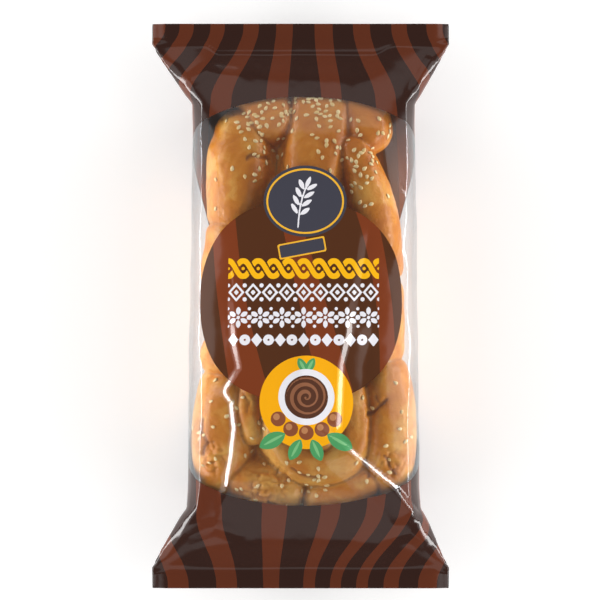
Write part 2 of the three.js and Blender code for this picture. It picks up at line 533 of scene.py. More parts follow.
def grid_triangles(rows, columns):
    """Two triangles for each cell of a grid."""
    corner = (np.arange(rows - 1)[:, None] * columns + np.arange(columns - 1)).reshape(-1)
    first = np.stack((corner, corner + 1, corner + columns + 1), axis=1)
    second = np.stack((corner, corner + columns + 1, corner + columns), axis=1)
    return np.concatenate((first, second))


class Skin:
    """The film as triangles, cut along the edges of each printed field so that every edge is crisp."""

    SNAP = 0.06  # a corner nearer than this to a field's edge counts as on it

    def __init__(self, values, triangles):
        self.values = values
        self.triangles = triangles
        self.ink = np.zeros(len(triangles), int)

    def cut(self, field):
        """Splits the triangles where the field changes sign, and returns its value at every corner."""
        value = field(self.values[:, 0], self.values[:, 1])
        value = np.where(np.abs(value) < self.SNAP, 0, value)
        side = np.sign(value[self.triangles])
        crossed = (side.min(axis=1) < 0) & (side.max(axis=1) > 0)
        triangles, side, ink = self.triangles[crossed], side[crossed], self.ink[crossed]
        touching = (side == 0).any(axis=1)
        # The corner on the edge comes first, or the one that is alone on its side.
        alone = side * -np.sign(side.sum(axis=1))[:, None]
        first = np.where(touching, np.argmin(np.abs(side), axis=1), np.argmax(alone, axis=1))
        order = (first[:, None] + np.arange(3)) % 3
        a, b, c = np.take_along_axis(triangles, order, axis=1).T
        t, n = touching, ~touching
        pairs = np.concatenate(
            (np.stack((b[t], c[t]), axis=1), np.stack((a[n], b[n]), axis=1), np.stack((a[n], c[n]), axis=1))
        )
        pairs.sort(axis=1)
        edges, which = np.unique(pairs, axis=0, return_inverse=True)
        on_bc, on_ab, on_ac = np.split(which.reshape(-1) + len(self.values), (t.sum(), t.sum() + n.sum()))
        share = value[edges[:, 0]] / (value[edges[:, 0]] - value[edges[:, 1]])
        ends = self.values[edges]
        self.values = np.concatenate((self.values, blend(ends[:, 0], ends[:, 1], share[:, None])))
        pieces = (
            np.stack((a[t], b[t], on_bc), axis=1),
            np.stack((a[t], on_bc, c[t]), axis=1),
            np.stack((a[n], on_ab, on_ac), axis=1),
            np.stack((on_ab, b[n], c[n]), axis=1),
            np.stack((on_ab, c[n], on_ac), axis=1),
        )
        self.triangles = np.concatenate((self.triangles[~crossed], *pieces))
        self.ink = np.concatenate((self.ink[~crossed], ink[t], ink[t], ink[n], ink[n], ink[n]))
        return np.concatenate((value, np.zeros(len(edges))))

    def paint(self, ink, field, over=None):
        """Gives the ink to what lies inside the field, and only over the given inks."""
        value = self.cut(field)
        inside = value[self.triangles].mean(axis=1) < 0
        if over is not None:
            inside &= np.isin(self.ink, over)
        self.ink[inside] = ink

    def piece(self, inks, beyond=0.0, within=math.inf):
        """Places, normals, triangles and inks of these inks, from `beyond` round and `within` along."""
        farthest_in = np.abs(self.values[self.triangles, 0]).min(axis=1)
        farthest_along = np.abs(self.values[self.triangles, 1]).max(axis=1)
        mine = np.isin(self.ink, inks) & (farthest_in >= beyond) & (farthest_along <= within)
        used, faces = np.unique(self.triangles[mine], return_inverse=True)
        kept = self.values[used]
        return kept[:, 2:5], kept[:, 5:8], faces.reshape(-1, 3), self.ink[mine]


# ---------------------------------------------------------------------------------------------------
# Printed shapes. Each field is a function of film coordinates that is negative inside, in millimetres.


def disc(u, v, centre, radius):
    return np.hypot(u - centre[0], v - centre[1]) - radius


def oval(u, v, centre, radii, squareness=2.0):
    """An oval, or a squarer form of one above 2."""
    across = np.abs((u - centre[0]) / radii[0])
    along = np.abs((v - centre[1]) / radii[1])
    return ((across**squareness + along**squareness) ** (1 / squareness) - 1) * min(radii)


def turned(u, v, centre, degrees):
    """The same places measured from a centre, along axes turned anticlockwise."""
    angle = math.radians(degrees)
    x, y = u - centre[0], v - centre[1]
    return x * math.cos(angle) + y * math.sin(angle), y * math.cos(angle) - x * math.sin(angle)


def bar(u, v, centre, half, degrees=0.0, corner=0.6):
    """A rounded bar."""
    x, y = turned(u, v, centre, degrees)
    over_x = np.abs(x) - half[0] + corner
    over_y = np.abs(y) - half[1] + corner
    outside = np.hypot(np.maximum(over_x, 0), np.maximum(over_y, 0))
    return outside + np.minimum(np.maximum(over_x, over_y), 0) - corner


def leaf(u, v, base, degrees, length, width):
    """A pointed oval from its base, with two round sides."""
    x, y = turned(u, v, base, degrees)
    bulge = (length**2 + width**2) / (4 * width)
    middle = bulge - width / 2
    left = np.hypot(x - length / 2, y + middle) - bulge
    right = np.hypot(x - length / 2, y - middle) - bulge
    return np.maximum(left, right)


SLANT = 0.75  # how far it is to a lozenge's slanting side, for the way straight across to it


def lozenge(u, v, centre, half):
    return (np.abs(u - centre[0]) / half[0] + np.abs(v - centre[1]) / half[1] - 1) * min(half) * SLANT


def joined(*fields):
    return np.minimum.reduce(fields)


def without(field, hole):
    return np.maximum(field, -hole)


# ---------------------------------------------------------------------------------------------------
# The print: inks, and where each field is

LINING = ("lining_dark", "lining_red")
OTHER_FILM = (*LINING, "clear")
INKS = tuple(name for name in FilmColours.__annotations__ if name not in OTHER_FILM)
CLEAR = len(INKS)
INK = {name: number for number, name in enumerate(INKS)}

WINDOW = ((0.0, 2.7), (111.5, 107.4), 2.15)
LABEL = ((-1.4, 2.6), (54.1, 52.8), 2.3)

# Stripes from each fin to the window: place and width on the fin, then at the window.
UPPER_STRIPES = (
    (-93.0, 8.5, -144.0, 13.0),
    (-75.8, 8.0, -120.0, 13.0),
    (-60.4, 7.5, -96.0, 12.0),
    (-44.0, 7.6, -72.0, 11.0),
    (-26.2, 8.2, -47.3, 12.0),
    (-8.5, 8.8, -15.0, 12.5),
    (12.2, 9.6, 16.0, 11.5),
    (32.3, 9.0, 47.0, 11.8),
    (52.2, 8.2, 74.0, 11.0),
    (71.0, 8.6, 98.0, 11.0),
    (89.0, 8.5, 120.0, 13.0),
    (107.0, 8.5, 146.0, 13.0),
)
LOWER_STRIPES = (
    (-112.0, 9.0, -144.0, 13.0),
    (-90.0, 10.0, -118.0, 13.0),
    (-64.9, 11.0, -86.0, 12.0),
    (-39.2, 11.0, -52.0, 14.5),
    (-15.6, 8.5, -15.8, 13.8),
    (4.5, 6.2, 14.8, 10.6),
    (18.5, 5.8, 39.2, 9.5),
    (32.6, 6.2, 55.5, 6.5),
    (48.0, 8.0, 72.0, 7.0),
    (67.3, 10.0, 92.0, 10.0),
    (87.0, 9.0, 120.0, 13.0),
    (108.0, 9.0, 146.0, 13.0),
)
STRIPES_TURN = (104.0, 148.0)  # along the pack, where they swing from the window's places to the fin's

# The label's stripes: place and width at its top, middle and bottom.
LABEL_STRIPES = (
    ((-43.5, -37.8, -26.5), (13.0, 15.3, 20.5)),
    ((-9.5, 4.5, 18.5), (9.5, 14.0, 18.0)),
    ((31.0, 42.5, 44.0), (10.8, 8.6, 9.5)),
)


def window(u, v):
    return oval(u, v, *WINDOW)


def label(u, v):
    return oval(u, v, *LABEL)


def end_stripes(u, v):
    """The stripes of both ends, which meet along the back."""
    nearest = np.full(len(u), np.inf)
    for stripes, along in ((UPPER_STRIPES, v), (LOWER_STRIPES, -v)):
        turn = smooth(*STRIPES_TURN, along)
        for on_fin, fin_width, at_window, window_width in stripes:
            width = blend(window_width, fin_width, turn)
            stripe = np.abs(u - blend(at_window, on_fin, turn)) - width / 2
            nearest = np.where(along >= 0, np.minimum(nearest, stripe), nearest)
    return nearest


def through_three(levels, t):
    """A parabola through three values, at t of 1, 0 and -1."""
    top, middle, bottom = levels
    return middle + (top - bottom) / 2 * t + ((top + bottom) / 2 - middle) * t * t


def label_stripes(u, v):
    (_, middle), (_, radius), _ = LABEL
    t = (v - middle) / radius
    return joined(
        *(
            np.abs(u - through_three(places, t)) - through_three(widths, t) / 2
            for places, widths in LABEL_STRIPES
        )
    )


# Rows of ornament: where the row's middle is along the pack, half its height, and motifs along its width.
ROW_HALF_WIDTH = 39.9
BRAID_ROW = (19.6, 5.4, 10)
LOZENGE_ROW = (7.2, 4.9, 9)
PETAL_ROW = (-5.9, 5.7, 7)
DOT_ROW = (-17.6, 3.6, 13)

# Sizes of the motifs.
BRAID_THICK, BRAID_DOT = 0.26, 0.17  # a strand's half-thickness and a dot's radius, for half the row's height
BRAID_GAP = 1.0
LOZENGE_SIZES = ((0.98, 1.0), (0.64, 0.66), (0.30, 0.31))  # a frame's two edges and its core, for half a cell
PAIR_OUT, PAIR_RADIUS = 0.74, 0.23  # the pairs of dots, for half the row's height
PETAL_TURN = 60  # degrees from petal to petal
PETAL_START, PETAL_WIDTH = 1.4, 2.5
FLOWER_INSET = 1.6  # a petal is this much shorter than half the row's height
FLOWER_DOT, MIDDLE_DOT, OUTER_DOT = 0.9, 1.3, 0.9
OUTER_DOT_OUT = 0.8  # for half the row's height
RING_RADIUS, RING_HOLE = 2.808, 0.612
LOZENGE_HALF_WIDTH = 2.9


def in_cells(u, count):
    """Places measured from the middle of each motif's cell, how far past the row they are, and the cell."""
    pitch = 2 * ROW_HALF_WIDTH / count
    cell = np.clip(np.floor((u + ROW_HALF_WIDTH) / pitch), 0, count - 1)
    return u + ROW_HALF_WIDTH - (cell + 0.5) * pitch, np.abs(u) - ROW_HALF_WIDTH, cell


def braid_row(u, v):
    """Two strands that cross over and under each other, with a dot in each eye."""
    middle, half, count = BRAID_ROW
    x, past, cell = in_cells(u, count)
    thick = half * BRAID_THICK
    swing = half - thick
    turn = math.pi * count / (2 * ROW_HALF_WIDTH)
    phase = (u + ROW_HALF_WIDTH) * turn + math.pi / 2
    steep = np.hypot(1, swing * turn * np.cos(phase))
    wave = swing * np.sin(phase)
    rising = np.abs(v - middle - wave) / steep - thick
    falling = np.abs(v - middle + wave) / steep - thick
    rising_over = cell % 2 == 0
    over = np.where(rising_over, rising, falling)
    under = without(np.where(rising_over, falling, rising), over - BRAID_GAP)
    edge = ROW_HALF_WIDTH / count
    dots = np.hypot(edge - np.abs(x), v - middle) - half * BRAID_DOT
    return np.maximum(joined(over, under, dots), past)


def lozenge_row(u, v):
    """Framed lozenges, with a pair of dots between neighbours."""
    middle, half, count = LOZENGE_ROW
    x, past, _ = in_cells(u, count)
    edge = ROW_HALF_WIDTH / count
    outer, hollow, core = (
        lozenge(x, v, (0, middle), (edge * wide, half * high)) for wide, high in LOZENGE_SIZES
    )
    dots = np.hypot(edge - np.abs(x), half * PAIR_OUT - np.abs(v - middle)) - half * PAIR_RADIUS
    return np.maximum(joined(without(outer, hollow), core, dots), past)


def petal_row(u, v):
    """Flowers of six petals round a dot, with three dots between neighbours."""
    middle, half, count = PETAL_ROW
    x, past, _ = in_cells(u, count)
    edge = ROW_HALF_WIDTH / count
    around = np.radians(np.degrees(np.arctan2(v - middle, x)) % PETAL_TURN - PETAL_TURN / 2)
    far = np.hypot(x, v - middle)
    petal_x, petal_y = far * np.cos(around), far * np.sin(around)
    petals = leaf(petal_x, petal_y, (PETAL_START, 0), 0, half - FLOWER_INSET, PETAL_WIDTH)
    from_edge = edge - np.abs(x)
    middle_dots = np.hypot(from_edge, v - middle) - MIDDLE_DOT
    outer_dots = np.hypot(from_edge, half * OUTER_DOT_OUT - np.abs(v - middle)) - OUTER_DOT
    return np.maximum(joined(petals, far - FLOWER_DOT, middle_dots, outer_dots), past)


def dot_row(u, v):
    """Lozenges and rings by turns."""
    middle, half, count = DOT_ROW
    x, past, cell = in_cells(u, count)
    far = np.hypot(x, v - middle)
    rings = without(far - RING_RADIUS, far - RING_HOLE)
    lozenges = lozenge(x, v, (0, middle), (LOZENGE_HALF_WIDTH, half))
    return np.maximum(np.where(cell % 2 == 0, lozenges, rings), past)


# The badge with its ear of wheat, and the bar under it.
BADGE_CENTRE = (0.8, 54.8)
BADGE_RADII = (22.1, 18.6)
BADGE_RIM = (1.5, 2.5)  # the gold line's edges, in from the badge's own
WHEAT_BASE = (-3.0, 40.6)
WHEAT_LEAN = 76.0
WHEAT_LENGTH = 28.0
STEM_BEND = 1.6
STEM_HALF_WIDTH = 0.4
GRAIN_PAIRS = 4
GRAIN_STEP = 4.4
GRAIN_SIZE = (6.6, 2.3)
GRAIN_SPREAD = 44.0
GRAIN_OFFSET = (1.0, 0.6)  # the top pair is this far below the tip's grain, and each this far from the stem
BAR_CENTRE = (-0.9, 30.4)
BAR_HALF = (12.6, 4.0)
BAR_TILT = 10.5
BAR_RIM = 0.8


def wheat(u, v):
    """An ear of wheat: a stem with paired grains and one at its tip."""
    x, y = turned(u, v, WHEAT_BASE, WHEAT_LEAN)
    y = y - STEM_BEND * np.sin(np.clip(x / WHEAT_LENGTH, 0, 1) * math.pi)
    tip = WHEAT_LENGTH - GRAIN_SIZE[0]
    stem = bar(x, y, (tip / 2, 0), (tip / 2, STEM_HALF_WIDTH), corner=STEM_HALF_WIDTH)
    grains = [leaf(x, y, (tip, 0), 0, *GRAIN_SIZE)]
    below_tip, beside = GRAIN_OFFSET
    for pair in range(GRAIN_PAIRS):
        start = tip - below_tip - GRAIN_STEP * pair
        for side in (-1, 1):
            grains.append(leaf(x, y, (start, beside * side), GRAIN_SPREAD * side, *GRAIN_SIZE))
    return joined(stem, *grains)


# The round picture: a plate of chocolate cream from above, with nuts and leaves round it.
PICTURE_CENTRE = (1.4, -50.2)
PICTURE_RADIUS = 24.4
PLATE_CENTRE = (1.4, -47.4)
PLATE_RADIUS = 14.6
CREAM_RADIUS = 11.3
SWIRL_TURNS = 2.6
SWIRL_START = 0.4  # turns that its middle takes up
SWIRL_HALF_WIDTHS = (0.12, 0.28)  # where it is thinnest and thickest, for the way from turn to turn
SWIRL_PHASE = 0.9  # radians
SWIRL_MARGIN = 0.9
NUT_RADIUS = 3.9
NUT_ORBIT = 18.6
NUT_ANGLES = (-142, -116, -90, -64, -38)
KERNEL_OFFSET = (-0.9, 1.1)
KERNEL_SHARE = 0.45  # its radius for the nut's
VEIN_SHARE, VEIN_WIDTH = 0.9, 1.5  # its length for the leaf's

# Each leaf: place of its base, turn in degrees, length and width.
LEAVES = (
    (-9.5, -66.5, -152.0, 15.5, 8.0),
    (-1.5, -69.5, -118.0, 12.5, 6.6),
    (12.2, -66.6, -30.0, 15.5, 8.0),
    (4.3, -69.5, -66.0, 12.5, 6.6),
    (1.2, -34.5, 118.0, 8.5, 4.4),
    (1.6, -34.5, 62.0, 8.5, 4.4),
)


def nut_places():
    """The middle of each nut, in an arc round the plate."""
    x, y = PLATE_CENTRE
    for degrees in NUT_ANGLES:
        angle = math.radians(degrees)
        yield x + NUT_ORBIT * math.cos(angle), y + NUT_ORBIT * math.sin(angle)


def cream_swirl(u, v):
    """A band that winds out from the middle of the plate, thicker and thinner by turns."""
    x, y = u - PLATE_CENTRE[0], v - PLATE_CENTRE[1]
    far = np.hypot(x, y)
    angle = np.arctan2(y, x)
    pitch = CREAM_RADIUS / (SWIRL_TURNS + SWIRL_START)
    turns = far / pitch - angle / (2 * math.pi)
    off = np.abs(turns - np.floor(turns) - 0.5) * pitch
    half_width = pitch * blend(*SWIRL_HALF_WIDTHS, 0.5 + 0.5 * np.sin(angle - SWIRL_PHASE))
    return np.maximum(off - half_width, far - CREAM_RADIUS + SWIRL_MARGIN)


def paint_pack(skin):
    """Prints the whole film: ends and back, label, badge, rows of ornament and the round picture."""
    skin.ink[:] = INK["dark_brown"]
    skin.paint(INK["red_brown"], end_stripes)
    skin.paint(CLEAR, window)
    skin.paint(INK["label_brown"], label)
    skin.paint(INK["label_red"], label_stripes, over=(INK["label_brown"],))
    skin.paint(INK["orange"], lambda u, v: disc(u, v, PICTURE_CENTRE, PICTURE_RADIUS))
    skin.paint(INK["yellow"], braid_row)
    for row in (lozenge_row, petal_row, dot_row):
        skin.paint(INK["white"], row)
    paint_badge(skin)
    paint_picture(skin)


def paint_badge(skin):
    """The badge with its thin line and ear of wheat, and the rimmed bar."""
    outer, inner = BADGE_RIM
    width, height = BADGE_RADII
    for ink, inset in (("slate", 0), ("gold", outer), ("slate", inner)):
        radii = (width - inset, height - inset)
        skin.paint(INK[ink], lambda u, v: oval(u, v, BADGE_CENTRE, radii))
    skin.paint(INK["white"], wheat)
    width, height = BAR_HALF
    for ink, inset in (("gold", 0), ("slate", BAR_RIM)):
        half = (width - inset, height - inset)
        skin.paint(INK[ink], lambda u, v: bar(u, v, BAR_CENTRE, half, BAR_TILT))


def paint_picture(skin):
    """The leaves, the plate of cream and the nuts."""
    for x, y, degrees, length, width in LEAVES:
        skin.paint(INK["leaf"], lambda u, v: leaf(u, v, (x, y), degrees, length, width))
        skin.paint(INK["vein"], lambda u, v: leaf(u, v, (x, y), degrees, length * VEIN_SHARE, VEIN_WIDTH))
    skin.paint(INK["white"], lambda u, v: disc(u, v, PLATE_CENTRE, PLATE_RADIUS))
    skin.paint(INK["chocolate"], lambda u, v: disc(u, v, PLATE_CENTRE, CREAM_RADIUS))
    skin.paint(INK["swirl"], cream_swirl)
    for x, y in nut_places():
        kernel = (x + KERNEL_OFFSET[0], y + KERNEL_OFFSET[1])
        skin.paint(INK["nut"], lambda u, v: disc(u, v, (x, y), NUT_RADIUS))
        skin.paint(INK["kernel"], lambda u, v: disc(u, v, kernel, NUT_RADIUS * KERNEL_SHARE))


# ---------------------------------------------------------------------------------------------------
# The loaf. Each strand is a swept round through places (x, y, radius, height of its top), in millimetres.

UPPER_STRANDS = (
    ((-21, 114, 15.5, 46), (-17, 98, 14.5, 49.5)),
    ((-33, 50, 17, 51), (-31.5, 66, 19, 52), (-31.5, 80, 18, 52), (-31, 90, 15, 49)),
    ((11, 121, 17, 43), (11, 107, 18, 49), (9, 86, 20, 53.5), (6, 70, 18.5, 54), (3, 54, 19, 54)),
    ((33, 106, 14.5, 45), (35.5, 93, 13.5, 48.5)),
    ((28, 82, 9.5, 50), (33, 69, 11, 51.5), (36, 55, 14, 52), (39, 41, 14.5, 51), (41, 22, 14, 50)),
)
MIDDLE_STRANDS = (
    ((-38, 36, 13, 49), (-36, 18, 17, 51.5), (-30, 0, 18, 52)),
    ((-10, 42, 18, 53), (-16, 14, 19, 54), (-6, -14, 19, 55)),
    ((16, 40, 18, 53), (20, 4, 20, 55), (4, -28, 20, 55)),
    ((-22, -6, 16, 52), (-37, -26, 16.5, 50.5)),
    ((40, 6, 15, 50), (39, -22, 16, 50.5)),
)
LOWER_STRANDS = (
    ((-38, -46, 17, 49.5), (-41.5, -62, 17.5, 51.5), (-42, -78, 17, 49.5), (-41, -90, 15, 45)),
    ((-26, -40, 9, 50), (-27, -54, 9.5, 51.5), (-25, -66, 7.5, 50)),
    (
        (-12, -48, 15, 52),
        (-10, -66, 14.5, 53),
        (-2, -79, 13.5, 52.5),
        (10, -83.5, 12.5, 51.5),
        (22, -79, 13, 52),
        (27, -66, 13, 52.5),
        (25, -48, 14, 52.5),
    ),
    ((8, -56, 17, 54.5), (9, -66, 16, 54)),
    ((-33, -92, 13, 45), (-20, -96, 16.5, 47.5), (-9, -98, 12.5, 46)),
    ((11, -102, 11, 44.5), (25, -99, 11.5, 45.5), (36, -93, 9, 46)),
    ((44, -38, 14, 50), (47, -55, 16, 51.5), (47, -70, 16.5, 51.5), (45, -88, 15, 47)),
)
STRANDS = UPPER_STRANDS + MIDDLE_STRANDS + LOWER_STRANDS
# Not seen: the dough under all of them.
CORE = ((0, -72, 40, 38), (0, -60, 50, 45), (0, 0, 48, 45), (0, 60, 44, 45), (-1, 74, 38, 38))
STRAND_RISE = 3.0  # every strand swells this far above its table, up against the film
FULLNESS = 1.35  # a strand's half-height for its radius
LOAF_BASE = 0.4  # no strand reaches lower
STRAND_SIDES = 28
STRAND_STEPS = 10  # from each of its places to the next
CAP_RINGS = 6  # in the round end of a strand
CAP_TIP = 0.04  # the last ring's size, for the strand's
LOAF_CELL = 1.1  # of the mesh that joins the strands into one skin
LOAF_ROUNDS = 3  # of smoothing
FILM_CLEARANCE = 1.5
UNDER_CLEARANCE = 2.2
END_CLEARANCE = 17.0  # in from each seal line
FILM_PRESS, UNDER_PRESS = 4.0, 2.0  # radius scales of the crust's bends where film presses on it

# Cracks in the crust: plan places, depth and half-width.
CRACKS = (
    (((-29.5, 77.3), (-23, 78.6), (-15, 78.2)), 1.6, 1.1),
    (((-40, 84), (-33, 88.5), (-25, 87.5)), 0.5, 1.0),
    (((-41, 73), (-34, 78.5)), 0.4, 0.9),
    (((-6.3, -85.2), (1.8, -88.7), (8.0, -90.2), (12.4, -89.2)), 1.3, 0.9),
    (((34.5, -57.6), (41.6, -52.5), (44.7, -48.3)), 1.8, 1.0),
    (((41.6, -52.5), (38.0, -46.0)), 1.0, 0.9),
    (((42.6, -77.9), (46.7, -83.2), (50.8, -90.1)), 1.8, 1.0),
    (((-50.5, -57), (-52.5, -66), (-50, -72), (-53, -80)), 1.5, 1.2),
    (((-50, -72), (-45.5, -71)), 0.9, 0.9),
    (((33.0, -80.5), (36.0, -90.0)), 1.2, 1.0),
    (((-30, -44), (-27, -50), (-29, -57)), 0.8, 0.9),
)
CRACK_WOBBLE = (1.3, 5.0)  # how far cracks wander off their paths, and the length of one swing
CRACK_TAPER = 0.12  # share of its path over which a crack fades at each end
CRACK_PAST_END = 0.04  # share of its path that it goes on past each end
DARKEST_CRACK = 1.4  # a crack this deep gets the fullest painted shade

# Where the crust is finely wrinkled: plan place and reach.
WRINKLED = (
    ((-18.0, -95.0), 15.0),
    ((46.0, -84.0), 10.0),
    ((-46.0, -80.0), 10.0),
)
WRINKLED_ANYWHERE = 0.14  # the share of that everywhere else
WRINKLED_FADE = (0.5, 1.2)  # where the patch begins and ends to fade, for its reach
WRINKLE_DEPTH = 1.9
WRINKLE_LENGTH = 4.8
WRINKLE_STRETCH = (1, 1.5, 1)
WRINKLE_SHARE = 0.45  # how wide each wrinkle is, as a share of the swing of its random values

UP_FACING = (-0.1, 0.4)  # how upright its normal is where crust begins to crack and wrinkle, and fully does
CRUST_SWELL = (0.55, 17.0)  # how far the crust goes in and out, and the length of one swing
GROOVE = (0.7, 1.4)  # depth and half-width of the groove between two strands
SEAM_SHADE = (0.58, 1.15)  # darkness and half-width of the painted shade at the bottom of a seam
SEAM_LEVELS = (2.0, 6.0)  # how far off the strands' own rounds a seam's painted shade begins to fade, and is gone

# How browned the crust is: 0 is pale, 1 is darkest.
BROWNED = 0.38
BROWNED_PATCHES = (0.40, 20.0)  # how much it varies, and the length of one swing
BROWNED_HIGH = (0.1, 36.0, 53.0)  # how much more it is on the tops, and the heights between which it grows
BROWNED_END = (0.25, -60.0, 60.0)  # how much more it is at the upper end, and from where to where it grows


def strand_sweep(points):
    """Vertices and faces of one strand, with round ends."""
    line = spline(points, STRAND_STEPS)
    heading = np.gradient(line[:, :2], axis=0)
    heading /= np.linalg.norm(heading, axis=1, keepdims=True)
    bend = np.linspace(math.pi / 2, 0, CAP_RINGS + 1)[:-1]
    start = line[0] - np.outer(np.sin(bend) * line[0, 2], (*heading[0], 0, 0))
    end = line[-1] + np.outer(np.sin(bend[::-1]) * line[-1, 2], (*heading[-1], 0, 0))
    rings = np.concatenate((start, line, end))
    scale = np.concatenate((np.cos(bend), np.ones(len(line)), np.cos(bend[::-1]))).clip(CAP_TIP)
    heading = np.pad(heading, ((CAP_RINGS, CAP_RINGS), (0, 0)), mode="edge")
    half_height, level = strand_section(rings[:, 2], rings[:, 3])
    angle = np.linspace(0, 2 * math.pi, STRAND_SIDES, endpoint=False)
    out = np.outer(rings[:, 2] * scale, np.cos(angle))
    x = rings[:, :1] - heading[:, 1:] * out
    y = rings[:, 1:2] + heading[:, :1] * out
    z = level[:, None] + np.outer(half_height * scale, np.sin(angle))
    vertices = np.stack((x, y, z), axis=-1).reshape(-1, 3)
    faces = []
    for ring in range(len(rings) - 1):
        for side in range(STRAND_SIDES):
            a = ring * STRAND_SIDES + side
            b = ring * STRAND_SIDES + (side + 1) % STRAND_SIDES
            faces.append((a, a + STRAND_SIDES, b + STRAND_SIDES, b))
    faces.append(tuple(range(STRAND_SIDES)))
    faces.append(tuple(range(len(vertices) - 1, len(vertices) - 1 - STRAND_SIDES, -1)))
    return vertices, faces


def strand_section(radius, top):
    """Half-height and middle level of a strand of this radius and top."""
    half_height = np.minimum(FULLNESS * radius, (top + STRAND_RISE - LOAF_BASE) / 2)
    return half_height, top + STRAND_RISE - half_height


def outside_strand(points, strand):
    """About how far each place is outside a strand, in millimetres."""
    line = spline(strand, STRAND_STEPS)
    half_height, level = strand_section(line[:, 2], line[:, 3])
    nearest = np.full(len(points), np.inf)
    for (x, y, radius, _), half, middle in zip(line, half_height, level):
        flat = np.hypot(points[:, 0] - x, points[:, 1] - y) / radius
        nearest = np.minimum(nearest, (np.hypot(flat, (points[:, 2] - middle) / half) - 1) * radius)
    return nearest


def remeshed(parts, cell):
    """One closed skin round overlapping closed parts: its vertices, faces and edges, in millimetres."""
    vertices, faces, count = [], [], 0
    for part_vertices, part_faces in parts:
        vertices.append(part_vertices)
        faces.extend(tuple(corner + count for corner in face) for face in part_faces)
        count += len(part_vertices)
    rough = new_object("rough_loaf", np.concatenate(vertices), faces, [])
    remesh = rough.modifiers.new("skin", "REMESH")
    remesh.mode = "VOXEL"
    remesh.voxel_size = cell * MM
    finished = rough.evaluated_get(bpy.context.evaluated_depsgraph_get())
    mesh = finished.to_mesh()
    places = np.empty(len(mesh.vertices) * 3)
    mesh.vertices.foreach_get("co", places)
    faces = [tuple(polygon.vertices) for polygon in mesh.polygons]
    edges = np.empty(len(mesh.edges) * 2, np.int32)
    mesh.edges.foreach_get("vertices", edges)
    finished.to_mesh_clear()
    data = rough.data
    bpy.data.objects.remove(rough)
    bpy.data.meshes.remove(data)
    return places.reshape(-1, 3) / MM, faces, edges.reshape(-1, 2)


def smoothed(values, edges, rounds, share=0.5):
    """Values at the vertices, each drawn towards the mean of its neighbours."""
    first, second = edges.T
    count = np.bincount(np.concatenate((first, second)), minlength=len(values))[:, None]
    for _ in range(rounds):
        total = np.zeros_like(values)
        for column in range(values.shape[1]):
            total[:, column] = np.bincount(first, values[second, column], len(values))
            total[:, column] += np.bincount(second, values[first, column], len(values))
        values = blend(values, total / count, share)
    return values


def quad_normals(vertices, faces):
    """Unit normals at the vertices of a mesh of quads."""
    corners = np.asarray(faces)
    a, b, c, d = (vertices[corners[:, i]] for i in range(4))
    face_normals = np.cross(c - a, d - b)
    total = np.zeros_like(vertices)
    for i in range(4):
        for column in range(3):
            total[:, column] += np.bincount(corners[:, i], face_normals[:, column], len(vertices))
    return total / np.maximum(np.linalg.norm(total, axis=1, keepdims=True), 1e-9)


def kept_under_film(points, shape):
    """Moves places that would come too near the film back inside it."""
    x, y, z = points.T
    y = np.clip(y, END_CLEARANCE - shape.seal, shape.seal - END_CLEARANCE)
    centre = shape.centre(y)
    reach = shape.half_width(y) - FILM_CLEARANCE
    x = centre + np.sign(x - centre) * soft_lower(np.abs(x - centre), reach, FILM_PRESS)
    ceiling = shape.front(x, y) - FILM_CLEARANCE
    floor = shape.back(x, y) + UNDER_CLEARANCE
    z = soft_lower(z, ceiling, FILM_PRESS)
    z = np.where(z > shape.level(y), np.minimum(z, ceiling), soft_higher(z, floor, UNDER_PRESS))
    return np.stack((x, y, z), axis=1)


def cracks(vertices, facing_up):
    """How deep in a crack each vertex is, and how much painted shade it gets there."""
    wobble, length = CRACK_WOBBLE
    plan = vertices[:, :2] + wobble * np.stack([noise(vertices, length, seed) for seed in (40, 41)], axis=1)
    sunk = np.zeros(len(vertices))
    dark = np.zeros(len(vertices))
    for path, depth, half_width in CRACKS:
        far, along, _ = distance_to_path(plan, path)
        line = bell(far, half_width) * facing_up
        for from_end in (along, 1 - along):
            line *= smooth(0, CRACK_TAPER, from_end + CRACK_PAST_END)
        sunk += depth * line
        # Painted shade in the crack, darker the deeper it is.
        dark = np.maximum(dark, line * min(depth / DARKEST_CRACK, 1))
    return sunk, dark


def wrinkles(vertices):
    """How deep in a fine wrinkle each vertex is."""
    share = np.full(len(vertices), WRINKLED_ANYWHERE)
    fades, gone = WRINKLED_FADE
    for place, reach in WRINKLED:
        far = np.hypot(*(vertices[:, :2] - place).T)
        share = np.maximum(share, 1 - smooth(reach * fades, reach * gone, far))
    swing = np.abs(fractal(vertices * WRINKLE_STRETCH, WRINKLE_LENGTH, 2, seed=21))
    return share * WRINKLE_DEPTH * np.clip(1 - swing / WRINKLE_SHARE, 0, 1)


def browning(vertices):
    """How browned the crust is at each vertex, from 0 to 1."""
    patches, length = BROWNED_PATCHES
    browned = BROWNED + patches * fractal(vertices, length, 3, seed=60)
    more, low, high = BROWNED_HIGH
    browned += more * (smooth(low, high, vertices[:, 2]) - 0.5)
    more, low, high = BROWNED_END
    browned += more * smooth(low, high, vertices[:, 1])
    return browned.clip(0, 1)


